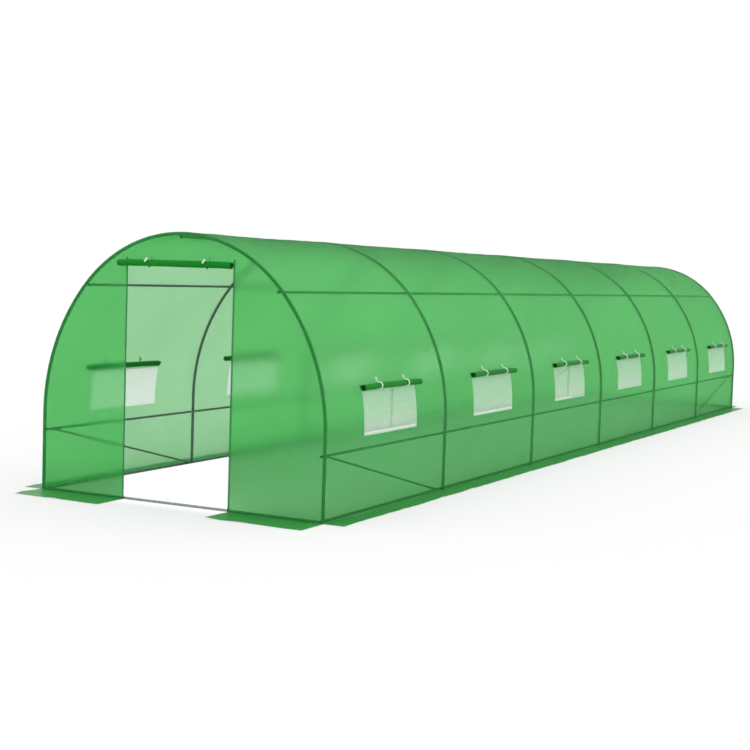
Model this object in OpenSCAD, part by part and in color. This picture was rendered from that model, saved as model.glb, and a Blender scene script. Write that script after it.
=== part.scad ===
// Polytunnel greenhouse: steel tube hoops, purlins and base rails under a
// stretched woven film cover, with a roll-up door and roll-up side windows.
// X runs across the tunnel, Y along it with the doorway at -Y, and Z is up.
// The ground is at Z = 0, and the origin is the middle of the footprint.

/* [Hoops] */
// Number of bays between the hoops
bays = 6; // [2:1:8]
// Length of one bay, from hoop centre to hoop centre
bay_len = 2000; // [1500:50:2600]
// Width of a hoop between the centres of its legs
hoop_w = 2500; // [2050:50:3600]
// Height of the hoop's centre line at the crown
hoop_h = 2000; // [1850:50:2800]
// Height of the straight leg below the shoulder bend
leg_h = 600; // [490:10:760]
// Angle that each shoulder bend turns through before the crown bend starts
shoulder_angle = 42; // [35:1:52]
// Outer diameter of the hoop tube
hoop_d = 25; // [20:1:32]
// Wall of the hoop tube, which sets how far its plug ends are narrowed
hoop_wall = 2; // [1:0.1:3]
// Gap that shows where two sections of a hoop meet
seam_gap = 1; // [0.5:0.1:2]

/* [Purlins, rails and braces] */
// Outer diameter of the purlin tube
purlin_d = 19; // [15:1:25]
// Height of the lower purlins above the ground
purlin_low_h = 470; // [300:5:480]
// Outer diameter of the base rails
rail_d = 19; // [15:1:25]
// Outer diameter of the corner braces
brace_d = 16; // [12:1:22]
// Distance along the tunnel from a hoop's centre to a brace's end
brace_inset = 60; // [30:5:120]
// Gap between tubes that are bolted side by side
seat_gap = 0.3; // [0.2:0.1:0.8]

/* [Cover] */
// Thickness of the cover film
film_t = 2; // [1.5:0.5:4]
// Gap between the film and the tube that it is stretched over
film_gap = 0.3; // [0.2:0.1:0.8]
// Width of the ground flap along each side
flap_side_w = 160; // [80:10:300]
// Width of the ground flap along each end
flap_end_w = 300; // [100:10:400]

/* [Door] */
// Width of the doorway
door_w = 940; // [700:10:1150]
// Height of the doorway
door_h = 1770; // [1400:10:1780]
// Diameter of the rolled-up door
door_roll_d = 50; // [40:1:70]
// Length that the rolled-up door runs past the left jamb
door_roll_past = 60; // [0:5:90]
// Height of the roll's centre above the doorway's upper edge
door_roll_rise = 10; // [0:1:20]
// Width of a door zip
zip_w = 12; // [8:1:20]
// Thickness of a door zip
zip_t = 2; // [1.5:0.5:4]
// Length that each zip runs on above the doorway
zip_past = 50; // [0:5:60]
// Distance of each door tie from the middle of the doorway
door_tie_off = 255; // [150:5:300]

/* [Windows] */
// Length of a window along the tunnel
window_w = 880; // [500:10:1100]
// Height of a window's lower edge above the ground
window_sill_h = 570; // [500:5:640]
// Height of a window's upper edge above the ground
window_head_h = 905; // [780:5:1080]
// Thickness of the window net
net_t = 1; // [0.5:0.5:1.5]
// Diameter of a rolled-up window flap
window_roll_d = 46; // [36:1:60]
// Length that a rolled-up flap runs past each side of its window
window_roll_past = 35; // [10:5:60]
// Distance of each window tie from the middle of its window
window_tie_off = 225; // [150:5:240]

/* [Ties] */
// Diameter of the tie cord
tie_d = 6; // [4:0.5:9]
// Gap between a tie and the roll inside it
tie_gap = 0.3; // [0.2:0.1:0.6]
// Diameter of the toggle on a tie
toggle_d = 11; // [10:0.5:16]
// Length of the toggle on a tie
toggle_l = 26; // [18:1:36]

/* [Hidden] */
$fn = 64;
bend_facets = 360;

// Length of a hoop section's plug end, half of it in each section
spigot_l = 60;

// How far the parts of an end wall's plate reach into each other
plate_lap = 5;

// Lengths along the tunnel
tunnel_l = bays * bay_len;
first_hoop_y = -tunnel_l / 2;

// Offsets of the film's two faces from a tube's centre line
skin_in = hoop_d / 2 + film_gap;
skin_out = skin_in + film_t;
sheet_l = tunnel_l + 2 * skin_in;
cover_l = tunnel_l + 2 * skin_out;
cover_half_w = hoop_w / 2 + skin_out;

// The hoop is a three-centred arch: its bends meet with no kink because both
// centres and the meeting point lie on one line
centre_gap = (hoop_h - leg_h - hoop_w / 2) / (sin(shoulder_angle) + cos(shoulder_angle) - 1);
shoulder_x = -centre_gap * cos(shoulder_angle);
shoulder_r = hoop_w / 2 - shoulder_x;
crown_z = leg_h + centre_gap * sin(shoulder_angle);
crown_r = hoop_h - crown_z;
crown_sweep = 180 - 2 * shoulder_angle;

// Height at which the film's outer face passes from shoulder bend to crown bend
skin_joint_z = crown_z + (crown_r + skin_out) * sin(shoulder_angle);

// Centre lines of the tubes that lie against the inside of the hoops
purlin_in = hoop_d / 2 + seat_gap + purlin_d / 2;
rail_x = hoop_w / 2 - hoop_d / 2 - seat_gap - rail_d / 2;
brace_x = hoop_w / 2 - hoop_d / 2 - max(purlin_d, rail_d) - 2 * seat_gap - brace_d / 2;
brace_foot_h = max(rail_d, brace_d) / 2;

// A roll hangs clear of the film by the thickness of its ties
tie_r = tie_gap + tie_d / 2;
roll_standoff = tie_d + tie_gap + seat_gap;
window_roll_r = window_roll_d / 2;
window_roll_reach = shoulder_r + skin_out + roll_standoff + window_roll_r;
window_roll_angle = asin((window_head_h - leg_h + window_roll_r) / window_roll_reach);
door_roll_y = -cover_l / 2 - roll_standoff - door_roll_d / 2;
door_roll_z = door_h + door_roll_rise;
door_roll_l = door_w + door_roll_past;

// Room allowed around a cut so that it passes right through the film
cut_over = 100;

SIDES = ["left", "right"];
HOOPS = [for (i = [1:bays + 1]) str("hoop_", i)];
FRAME_NODES = concat(
  HOOPS,
  ["base_rail_front", "base_rail_rear", "ridge_purlin"],
  [for (s = SIDES) each [
    str("base_rail_", s), str("purlin_low_", s), str("purlin_high_", s),
    str("brace_front_", s), str("brace_rear_", s)
  ]]
);
COVER_NODES = concat(
  ["roof_sheet", "front_wall_header", "rear_wall", "ground_flap_rear"],
  [for (s = SIDES) each [
    str("side_sheet_", s), str("front_wall_", s), str("ground_flap_", s),
    str("ground_flap_front_", s)
  ]]
);
FITTING_NODES = concat(
  ["door_roll", "door_ties", "door_zips"],
  [for (s = SIDES) each [
    str("window_nets_", s), str("window_rolls_", s), str("window_ties_", s)
  ]]
);

// Places a piece that is drawn on the right on the named side
module on_side(side) {
  mirror([side == "left" ? 1 : 0, 0, 0]) children();
}

// Repeats a piece at the middle of each bay
module each_bay() {
  for (i = [0:bays - 1])
    translate([0, first_hoop_y + (i + 0.5) * bay_len, 0]) children();
}

// A round tube along Y, centred on the tunnel's middle
module tube_along(diameter, length) {
  rotate([90, 0, 0]) cylinder(d = diameter, h = length, center = true);
}

// Turns a section drawn at radius X into a bend about a line along Y
module bend(centre_x, centre_z, start, sweep, length) {
  translate([centre_x, length / 2, centre_z])
    rotate([90, 0, 0])
      rotate([0, 0, start])
        rotate_extrude(angle = sweep, $fn = bend_facets) children();
}

// ---- Frame ----

// The narrowed tube end that plugs one section of a hoop into the next
module spigot(centre_x, centre_z, radius, angle) {
  translate([centre_x, 0, centre_z])
    rotate([0, -angle, 0])
      translate([radius, 0, 0])
        cylinder(d = hoop_d - 2 * hoop_wall, h = spigot_l, center = true);
}

// A bent section of a hoop, cut back by half a seam at each end
module hoop_bend(centre_x, centre_z, radius, start, sweep) {
  seam_turn = seam_gap / 2 / radius * 180 / PI;
  bend(centre_x, centre_z, start + seam_turn, sweep - 2 * seam_turn, 0)
    translate([radius, 0]) circle(d = hoop_d);
}

module leg_and_shoulder() {
  translate([hoop_w / 2, 0, 0]) cylinder(d = hoop_d, h = leg_h - seam_gap / 2);
  spigot(shoulder_x, leg_h, shoulder_r, 0);
  hoop_bend(shoulder_x, leg_h, shoulder_r, 0, shoulder_angle);
  spigot(0, crown_z, crown_r, shoulder_angle);
}

module hoop(index) {
  color("slategray")
    translate([0, first_hoop_y + (index - 1) * bay_len, 0])
      union() {
        leg_and_shoulder();
        mirror([1, 0, 0]) leg_and_shoulder();
        hoop_bend(0, crown_z, crown_r, shoulder_angle, crown_sweep);
      }
}

module ridge_purlin() {
  color("slategray")
    translate([0, 0, hoop_h - purlin_in]) tube_along(purlin_d, tunnel_l + hoop_d);
}

module purlin_low() {
  color("slategray")
    translate([hoop_w / 2 - purlin_in, 0, purlin_low_h]) tube_along(purlin_d, tunnel_l + hoop_d);
}

// The upper purlin lies where the shoulder bend meets the crown bend
module purlin_high() {
  reach = shoulder_r - purlin_in;
  color("slategray")
    translate([shoulder_x + reach * cos(shoulder_angle), 0, leg_h + reach * sin(shoulder_angle)])
      tube_along(purlin_d, tunnel_l + hoop_d);
}

module base_rail_side() {
  color("slategray")
    translate([rail_x, 0, rail_d / 2]) tube_along(rail_d, tunnel_l - rail_d - 2 * seat_gap);
}

// The end rail butts against the two legs of an end hoop
module base_rail_end(y) {
  color("silver")
    translate([0, y, rail_d / 2])
      rotate([0, 90, 0])
        cylinder(d = rail_d, h = hoop_w - hoop_d - 2 * seat_gap, center = true);
}

// Runs from the lower purlin at the front hoop down to the second hoop's foot
module brace() {
  run = bay_len - 2 * brace_inset;
  drop = purlin_low_h - brace_foot_h;
  color("slategray")
    translate([brace_x, first_hoop_y + brace_inset, purlin_low_h])
      rotate([-90 - atan2(drop, run), 0, 0])
        cylinder(d = brace_d, h = norm([run, drop]));
}

// ---- Cover ----

// The skin over one side, from the ground to the upper purlin
module side_skin(thickness) {
  translate([hoop_w / 2 + skin_in, -sheet_l / 2, 0]) cube([thickness, sheet_l, leg_h]);
  bend(shoulder_x, leg_h, 0, shoulder_angle, sheet_l)
    translate([shoulder_r + skin_in, 0]) square([thickness, sheet_l]);
}

// The space that a window takes out of the skin
module window_space() {
  translate([hoop_w / 2 - 2 * cut_over, -window_w / 2, window_sill_h])
    cube([3 * cut_over, window_w, window_head_h - window_sill_h]);
}

module side_sheet() {
  color("mediumseagreen")
    difference() {
      side_skin(film_t);
      each_bay() window_space();
    }
}

module roof_sheet() {
  color("mediumseagreen")
    bend(0, crown_z, shoulder_angle, crown_sweep, sheet_l)
      translate([crown_r + skin_in, 0]) square([film_t, sheet_l]);
}

// An upright round plate about Y = 0
module disc(centre_x, centre_z, radius) {
  translate([centre_x, 0, centre_z])
    rotate([90, 0, 0]) cylinder(r = radius, h = film_t, center = true, $fn = bend_facets);
}

// A block up to the given X, from one height to another, thicker than the film
module block(right_x, low, high) {
  translate([-cover_half_w, -film_t, low])
    cube([cover_half_w + right_x, 2 * film_t, high - low]);
}

// All that lies inside the right shoulder, between the legs and the crown
module inside_shoulder() {
  disc(shoulder_x, leg_h, shoulder_r + skin_out);
  block(shoulder_x, leg_h - plate_lap, skin_joint_z);
}

// The whole end of the tunnel as one upright plate about Y = 0: the legs'
// part, then the part between the shoulders, then the part under the crown.
// Each reaches plate_lap down into the one below, so the three are one piece
module end_plate() {
  translate([-cover_half_w, -film_t / 2, 0]) cube([2 * cover_half_w, film_t, leg_h]);
  intersection() {
    inside_shoulder();
    mirror([1, 0, 0]) inside_shoulder();
    translate([-cover_half_w, -film_t / 2, leg_h - plate_lap])
      cube([2 * cover_half_w, film_t, skin_joint_z - leg_h + plate_lap]);
  }
  intersection() {
    disc(0, crown_z, crown_r + skin_out);
    block(cover_half_w, skin_joint_z - plate_lap, hoop_h + skin_out + film_t);
  }
}

module end_wall(y) {
  translate([0, y, 0]) end_plate();
}

module front_wall_side() {
  color("seagreen")
    intersection() {
      end_wall(-(cover_l - film_t) / 2);
      translate([door_w / 2, -cover_l, 0]) cube([cover_half_w, cover_l, hoop_h + skin_out]);
    }
}

module front_wall_header() {
  color("seagreen")
    intersection() {
      end_wall(-(cover_l - film_t) / 2);
      translate([-door_w / 2, -cover_l, door_h]) cube([door_w, cover_l, hoop_h]);
    }
}

module rear_wall() {
  color("seagreen") end_wall((cover_l - film_t) / 2);
}

module ground_flap_side() {
  color("forestgreen")
    translate([cover_half_w, -cover_l / 2, 0]) cube([flap_side_w, cover_l, film_t]);
}

module ground_flap_front() {
  color("forestgreen")
    translate([door_w / 2, -cover_l / 2 - flap_end_w, 0])
      cube([cover_half_w - door_w / 2, flap_end_w, film_t]);
}

module ground_flap_rear() {
  color("forestgreen")
    translate([-cover_half_w, cover_l / 2, 0]) cube([2 * cover_half_w, flap_end_w, film_t]);
}

// ---- Door and windows ----

// A cord ring round a roll along Y, with its toggle standing on top
module tie(roll_d) {
  ring_r = roll_d / 2 + tie_r;
  color("white") {
    rotate([90, 0, 0]) rotate_extrude() translate([ring_r, 0]) circle(d = tie_d);
    translate([0, 0, ring_r]) cylinder(d = toggle_d, h = toggle_l);
  }
}

module door_roll() {
  color("green")
    translate([-door_w / 2 - door_roll_past, door_roll_y, door_roll_z])
      rotate([0, 90, 0]) cylinder(d = door_roll_d, h = door_roll_l);
}

module door_ties() {
  for (x = [-door_tie_off, door_tie_off])
    translate([x, door_roll_y, door_roll_z]) rotate([0, 0, 90]) tie(door_roll_d);
}

module door_zips() {
  color("darkslategray")
    for (side = SIDES)
      on_side(side)
        translate([door_w / 2, -cover_l / 2 - zip_t, film_t])
          cube([zip_w, zip_t, door_h + zip_past - film_t]);
}

module window_nets() {
  color("honeydew")
    intersection() {
      side_skin(net_t);
      each_bay() window_space();
    }
}

// Places a piece on the centre line of each rolled-up window flap
module at_window_rolls() {
  each_bay()
    translate([
      shoulder_x + window_roll_reach * cos(window_roll_angle), 0,
      leg_h + window_roll_reach * sin(window_roll_angle)
    ]) children();
}

module window_rolls() {
  color("green") at_window_rolls() tube_along(window_roll_d, window_w + 2 * window_roll_past);
}

module window_ties() {
  at_window_rolls()
    for (y = [-window_tie_off, window_tie_off])
      translate([0, y, 0]) tie(window_roll_d);
}

// ---- Nodes ----

for (i = [1:bays + 1])
  hoop(i);
ridge_purlin();
base_rail_end(first_hoop_y);  // base_rail_front
base_rail_end(-first_hoop_y);  // base_rail_rear
roof_sheet();
front_wall_header();
rear_wall();
ground_flap_rear();
door_roll();
door_ties();
door_zips();
for (s = SIDES) {
  on_side(s) base_rail_side();
  on_side(s) purlin_low();
  on_side(s) purlin_high();
  on_side(s) brace();
  mirror([0, 1, 0]) on_side(s) brace();
  on_side(s) side_sheet();
  on_side(s) front_wall_side();
  on_side(s) ground_flap_side();
  on_side(s) ground_flap_front();
  on_side(s) window_nets();
  on_side(s) window_rolls();
  on_side(s) window_ties();
}
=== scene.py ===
import math

import bmesh
import bpy
import numpy as np
from mathutils import Matrix, Vector


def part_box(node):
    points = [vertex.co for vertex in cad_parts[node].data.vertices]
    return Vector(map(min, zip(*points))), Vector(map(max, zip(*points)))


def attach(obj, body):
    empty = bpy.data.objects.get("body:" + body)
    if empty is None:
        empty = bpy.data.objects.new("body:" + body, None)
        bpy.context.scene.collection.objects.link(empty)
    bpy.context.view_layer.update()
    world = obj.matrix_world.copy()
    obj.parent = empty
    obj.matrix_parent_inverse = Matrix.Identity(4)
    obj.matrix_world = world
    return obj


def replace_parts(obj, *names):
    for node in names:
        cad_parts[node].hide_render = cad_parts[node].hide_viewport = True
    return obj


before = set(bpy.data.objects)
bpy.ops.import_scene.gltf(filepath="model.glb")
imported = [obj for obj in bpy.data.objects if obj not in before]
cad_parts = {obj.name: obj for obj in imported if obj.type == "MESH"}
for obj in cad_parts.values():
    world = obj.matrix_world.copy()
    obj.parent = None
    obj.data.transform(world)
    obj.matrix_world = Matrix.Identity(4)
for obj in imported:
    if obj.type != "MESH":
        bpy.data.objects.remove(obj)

scene = bpy.context.scene
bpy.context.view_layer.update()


# --------------------------------------------------
# The camera stands off the front right corner, a little below the crown of
# the tunnel, and is tipped slightly, so the doorway end shows nearly square
# and the whole right side runs away from it.

def stand_camera(place, azimuth, elevation, tip, lens):
    turn, rise, tip = (math.radians(angle) for angle in (azimuth, elevation, tip))
    back = Vector((math.sin(turn) * math.cos(rise), -math.cos(turn) * math.cos(rise), math.sin(rise)))
    right = Vector((0, 0, 1)).cross(back).normalized()
    up = back.cross(right)
    across = math.cos(tip) * right + math.sin(tip) * up
    upward = math.cos(tip) * up - math.sin(tip) * right
    camera = bpy.data.objects.new("camera", bpy.data.cameras.new("camera"))
    camera.data.sensor_width = 36
    camera.data.lens = lens
    camera.data.clip_end = 300
    camera.matrix_world = Matrix((across, upward, back)).transposed().to_4x4()
    camera.matrix_world.translation = place
    scene.collection.objects.link(camera)
    scene.camera = camera


stand_camera((6.024, -14.507, 1.734), azimuth=27.355, elevation=3.994, tip=1.859, lens=67.69)


# --------------------------------------------------
# Seven hoops of galvanised steel tube, each bent as a three-centred arch in
# sections that plug into each other with a narrowed end. They stand in line
# and carry everything else, so the later pieces take their places from them.

LEG_HEIGHT = 0.6
SHOULDER_ANGLE = math.radians(42)

first_low, first_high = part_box("hoop_1")
HOOP_R = (first_high.y - first_low.y) / 2
HALF_W = first_high.x - HOOP_R
CROWN_H = first_high.z - HOOP_R
HOOP_Y = [(low.y + high.y) / 2 for low, high in (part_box(f"hoop_{i}") for i in range(1, 8))]
FRONT_Y, REAR_Y = HOOP_Y[0], HOOP_Y[-1]
BAY = HOOP_Y[1] - HOOP_Y[0]

centre_gap = (CROWN_H - LEG_HEIGHT - HALF_W) / (math.sin(SHOULDER_ANGLE) + math.cos(SHOULDER_ANGLE) - 1)
SHOULDER_X = -centre_gap * math.cos(SHOULDER_ANGLE)
SHOULDER_R = HALF_W - SHOULDER_X
CROWN_Z = LEG_HEIGHT + centre_gap * math.sin(SHOULDER_ANGLE)
CROWN_R = CROWN_H - CROWN_Z
SHOULDER_END = LEG_HEIGHT + SHOULDER_R * SHOULDER_ANGLE
HALF_ARCH = SHOULDER_END + CROWN_R * (math.pi / 2 - SHOULDER_ANGLE)


def on_arch(along, out):
    """The (x, z) point this far out from a length along the hoop's centre line, and the way out.

    The length runs from the right foot, over the crown, to the left foot.
    """
    along, out = np.broadcast_arrays(np.asarray(along, float), np.asarray(out, float))
    side = np.where(along <= HALF_ARCH, 1.0, -1.0)
    length = np.where(along <= HALF_ARCH, along, 2 * HALF_ARCH - along)
    turned = np.clip((length - LEG_HEIGHT) / SHOULDER_R, 0, SHOULDER_ANGLE)
    angle = turned + np.maximum(length - SHOULDER_END, 0) / CROWN_R
    on_crown = length > SHOULDER_END
    radius = np.where(on_crown, CROWN_R, SHOULDER_R) + out
    x = np.where(on_crown, 0.0, SHOULDER_X) + radius * np.cos(angle)
    z = np.where(on_crown, CROWN_Z, LEG_HEIGHT) + radius * np.sin(angle)
    z = np.where(length < LEG_HEIGHT, length, z)
    return np.stack([side * x, z], -1), np.stack([side * np.cos(angle), np.sin(angle)], -1)


def arch_points(along, out, y):
    """The points this far out from lengths along the hoop's centre line, at each y."""
    place, _ = on_arch(along, out)
    return np.stack([place[..., 0], np.broadcast_to(y, place.shape[:-1]), place[..., 1]], -1)


class Shade:
    """A value, colour or vector in a material. A sum or product of values adds its Math nodes."""

    def __init__(self, tree, socket=None):
        self.tree, self.socket = tree, socket

    def node(self, kind, settings=None, values=None, out=0):
        made = self.tree.nodes.new("ShaderNode" + kind)
        for name, value in (settings or {}).items():
            if name == "stops":
                ramp = made.color_ramp.elements
                while len(ramp) < len(value):
                    ramp.new(0.5)
                for stop, (place, colour) in zip(ramp, value):
                    stop.position, stop.color = place, (*colour, 1)
            else:
                setattr(made, name, value)
        for name, value in (values or {}).items():
            socket = made.inputs[name]
            if isinstance(value, Shade):
                self.tree.links.new(value.socket, socket)
            elif socket.type == "RGBA" and len(value) == 3:
                socket.default_value = (*value, 1)
            else:
                socket.default_value = value
        return Shade(self.tree, made.outputs[out] if len(made.outputs) else None)

    def maths(self, operation, *others):
        return self.node("Math", {"operation": operation}, dict(enumerate((self, *others))))

    def __add__(self, other):
        return self.maths("ADD", other)

    def __mul__(self, other):
        return self.maths("MULTIPLY", other)

    def __sub__(self, other):
        return self.maths("SUBTRACT", other)

    def __rsub__(self, other):
        return self.node("Math", {"operation": "SUBTRACT"}, {0: other, 1: self})

    __radd__, __rmul__ = __add__, __mul__

    def fade(self, low, high, start=0.0, end=1.0):
        """start where this value is low, end where it is high, and a smooth change between."""
        values = {"Value": self, "From Min": low, "From Max": high, "To Min": start, "To Max": end}
        return self.node("MapRange", {"interpolation_type": "SMOOTHSTEP"}, values)

    def blend(self, colour, other):
        """The first colour where this value is 0 and the other where it is 1."""
        return self.node("Mix", {"data_type": "RGBA"}, {0: self, 6: colour, 7: other}, out=2)

    def noise(self, scale, detail=2.0, roughness=0.5):
        """Cloudy noise at this place."""
        values = {"Vector": self, "Scale": scale, "Detail": detail, "Roughness": roughness}
        return self.node("TexNoise", {}, values)
    def split(self):
        """The three parts of this vector."""
        parts = self.node("SeparateXYZ", {}, {"Vector": self}).socket.node.outputs
        return [Shade(self.tree, part) for part in parts]

    def bump(self, strength, distance):
        """Bumps that rise with this value, to a height in metres."""
        return self.node("Bump", {}, {"Strength": strength, "Distance": distance, "Height": self})

    def surface(self, skin):
        self.node("OutputMaterial", {}, {"Surface": skin})


def new_material(name):
    material = bpy.data.materials.new(name)
    material.use_nodes = True
    material.node_tree.nodes.clear()
    return material, Shade(material.node_tree)


def coat(shade, colour, roughness, bump, shine=0.5, metallic=0.0):
    """A solid skin with the given colour, roughness and bumps."""
    return shade.node("BsdfPrincipled", {}, {
        "Base Color": colour, "Metallic": metallic, "Roughness": roughness, "Normal": bump,
        "Specular IOR Level": shine,
    })


def wear(shade):
    """Zinc spangle, a film of dust and fine drawing marks: (0..1 tone, roughness, height)."""
    place = shade.node("TexCoord", out="Object")
    cells = {"Vector": place, "Scale": 95.0, "Randomness": 1.0}
    spangle = shade.node("TexVoronoi", {"feature": "F1"}, cells, out="Color")
    spangle = shade.node("SeparateColor", {}, {"Color": spangle})
    clouds = place.noise(16.0, 4.0, 0.6)
    fine = place.noise(420.0, 2.0, 0.6)
    roughness = clouds.fade(0.3, 0.75, 0.34, 0.56) + spangle * 0.08
    return spangle * 0.45 + clouds * 0.55, roughness, fine * 0.4 + spangle * 0.6


def hard_finish(name, dark, light, metallic):
    """Metal or hard plastic with fine wear."""
    material, shade = new_material(name)
    tone, roughness, height = wear(shade)
    colour = tone.fade(0.25, 0.75).blend(dark, light)
    shade.surface(coat(shade, colour, roughness, height.bump(0.12, 0.0004), metallic=metallic))
    return material


def finish_node(name, material):
    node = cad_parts[name]
    node.data.materials.clear()
    node.data.materials.append(material)
    for face in node.data.polygons:
        face.material_index = 0
        face.use_smooth = True


galvanised = hard_finish("galvanised_steel", (0.160, 0.197, 0.184), (0.235, 0.282, 0.264), 0.3)
for i in range(1, 8):
    finish_node(f"hoop_{i}", galvanised)


# --------------------------------------------------
# Purlins of thinner galvanised tube run the whole length inside the hoops:
# one under the ridge, one at each shoulder and one low on each side. Base
# rails of the same tube join the hoop feet on the ground.

for name in ["ridge_purlin", "base_rail_rear"] + [
    f"{tube}_{side}" for tube in ("purlin_low", "purlin_high", "base_rail") for side in ("left", "right")
]:
    finish_node(name, galvanised)
# The front base rail is the same galvanised tube with a lighter copy of its finish: painted light on the rail
# across the doorway.
finish_node("base_rail_front", hard_finish("galvanised_steel_painted_lighter", (0.22, 0.25, 0.245), (0.34, 0.38, 0.37), 0.45))


# --------------------------------------------------
# Four corner braces of the thinnest tube slope from the low purlin beside an
# end hoop down to the next hoop's foot. Their ends are pressed flat and
# rounded off, and a bolt holds each of them to the purlin or the rail.

class Build:
    """Gathers the points and faces of one piece, with flat cloth measures in metres where they're given."""

    def __init__(self):
        self.points, self.faces, self.measures = [], [], []

    def add(self, points, faces, measures=None):
        start = len(self.points)
        points = np.asarray(points, float).reshape(-1, 3)
        self.points.extend(points.tolist())
        self.faces.extend([[start + corner for corner in face] for face in faces])
        flat = np.zeros((len(points), 2)) if measures is None else np.asarray(measures, float).reshape(-1, 2)
        self.measures.extend(flat.tolist())

    def piece(self, name, material, slot, smooth=True):
        mesh = bpy.data.meshes.new(name)
        mesh.from_pydata(self.points, [], self.faces)
        layer = mesh.uv_layers.new(name="cloth")
        corners = np.zeros(len(mesh.loops), np.int32)
        mesh.loops.foreach_get("vertex_index", corners)
        layer.data.foreach_set("uv", np.asarray(self.measures, np.float32)[corners].ravel())
        mesh.polygons.foreach_set("use_smooth", [smooth] * len(mesh.polygons))
        mesh.materials.append(material)
        mesh.update()
        piece = bpy.data.objects.new(name, mesh)
        scene.collection.objects.link(piece)
        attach(piece, "root")
        return piece


def loft(rings):
    """Points and faces of a closed skin over rings of points, each ring closed on itself."""
    rings = np.asarray(rings, float)
    count, sides = rings.shape[:2]
    faces = []
    for start in range(0, (count - 1) * sides, sides):
        for side in range(sides):
            across = (side + 1) % sides
            faces.append([start + side, start + across, start + sides + across, start + sides + side])
    faces.append(list(range(sides))[::-1])
    faces.append([(count - 1) * sides + side for side in range(sides)])
    return rings.reshape(-1, 3), faces


brace_low, brace_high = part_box("brace_front_right")
BRACE_R = (brace_high.x - brace_low.x) / 2
brace_x = (brace_low.x + brace_high.x) / 2
slope = 0.0
for _ in range(20):
    slope = math.atan2(
        brace_high.z - brace_low.z - 2 * BRACE_R * math.cos(slope),
        brace_high.y - brace_low.y - 2 * BRACE_R * math.sin(slope),
    )
brace_run = Vector((0, math.cos(slope), -math.sin(slope)))
brace_side = Vector((0, math.sin(slope), math.cos(slope)))
brace_top = Vector((brace_x, brace_low.y, brace_high.z - BRACE_R * math.cos(slope)))
brace_length = (brace_high.y - brace_low.y - 2 * BRACE_R * math.sin(slope)) / math.cos(slope)
PRESSED_T = 0.0045
PRESSED_SPREAD = 0.0035

# Each step of an end: how far along, how flat from 0 to 1, and how much of its width is left at the tip
BRACE_END = [
    (0.0005, 1, 0.35), (0.0015, 1, 0.6), (0.004, 1, 0.85), (0.008, 1, 1), (0.032, 1, 1),
    (0.038, 0.85, 1), (0.048, 0.4, 1), (0.058, 0.1, 1), (0.066, 0, 1),
]


def brace_ring(along, flat, narrow):
    """A ring of points round the brace. It is pressed flat against the outer side."""
    half_thick = BRACE_R + (PRESSED_T / 2 - BRACE_R) * flat
    half_high = (BRACE_R + PRESSED_SPREAD * flat) * narrow
    squareness = 1 - 0.45 * flat
    points = []
    for step in range(24):
        angle = 2 * math.pi * step / 24
        across = math.copysign(abs(math.cos(angle)) ** squareness, math.cos(angle))
        outward = Vector((BRACE_R - half_thick + half_thick * across, 0, 0))
        upright = brace_side * (half_high * math.sin(angle))
        points.append((brace_top + brace_run * along + outward + upright)[:])
    return points


middle = [(along, 0, 1) for along in np.linspace(0.2, brace_length - 0.2, 9)]
far_end = [(brace_length - along, flat, narrow) for along, flat, narrow in BRACE_END[::-1]]
brace_rings = np.array([brace_ring(*step) for step in BRACE_END + middle + far_end])

SIDES = (("right", 1), ("left", -1))
for side, x_sign in SIDES:
    for end, y_sign in (("front", 1), ("rear", -1)):
        build = Build()
        points, faces = loft(brace_rings * (x_sign, y_sign, 1))
        build.add(points, faces if x_sign * y_sign > 0 else [face[::-1] for face in faces])
        brace = build.piece(f"corner_brace_{end}_{side}", galvanised, "galvanised_tube")
        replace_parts(brace, f"brace_{end}_{side}")


# --------------------------------------------------
# Black plastic caps are pushed over both ends of every purlin, so that the cut
# tube doesn't wear through the film of the end walls.

def ring(centre, across, upward, sides, reach=1.0):
    """Points round a centre, as far out as across and upward are long. reach scales each point's."""
    angle = np.linspace(0, 2 * math.pi, sides, endpoint=False)[:, None]
    return np.array(centre) + reach * (np.cos(angle) * np.array(across) + np.sin(angle) * np.array(upward))


ridge_low, ridge_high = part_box("ridge_purlin")
PURLIN_R = (ridge_high.x - ridge_low.x) / 2

# Each step of a cap's outline: how far in from the tube's end, and the radius
CAP_OUTLINE = [
    (0.009, PURLIN_R - 0.0005), (0.009, PURLIN_R + 0.0004), (0.001, PURLIN_R + 0.0004),
    (0.0, PURLIN_R - 0.0008), (-0.0002, 0.004),
]

caps = Build()
for name in ("ridge_purlin", "purlin_high_right", "purlin_high_left", "purlin_low_right", "purlin_low_left"):
    low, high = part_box(name)
    for end_y, sign in ((low.y, -1), (high.y, 1)):
        caps.add(*loft([
            ring(
                ((low.x + high.x) / 2, end_y - sign * inward, (low.z + high.z) / 2),
                (radius, 0, 0), (0, 0, radius), 24,
            )
            for inward, radius in CAP_OUTLINE
        ]))
BLACK_PLASTIC = hard_finish("black_plastic", (0.010, 0.014, 0.011), (0.022, 0.028, 0.024), 0.0)
caps.piece("purlin_end_caps", BLACK_PLASTIC, "galvanised_tube")


# --------------------------------------------------
# Zinc-plated bolts hold the purlins to the hoops, the braces at both ends, and
# the side rails to the hoop feet. Each shows a washer, a hexagon nut and the
# bolt's end on the inside.

rail_low, rail_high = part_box("base_rail_right")
RAIL_R = (rail_high.z - rail_low.z) / 2
RAIL_X = (rail_low.x + rail_high.x) / 2
PURLIN_DEPTH = CROWN_H - ridge_low.z
low_purlin_low, low_purlin_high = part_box("purlin_low_right")
LOW_PURLIN_Z = (low_purlin_low.z + low_purlin_high.z) / 2
RAIL_BOLT_IN = 0.024
BRACE_BOLT_AT = 0.018

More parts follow.
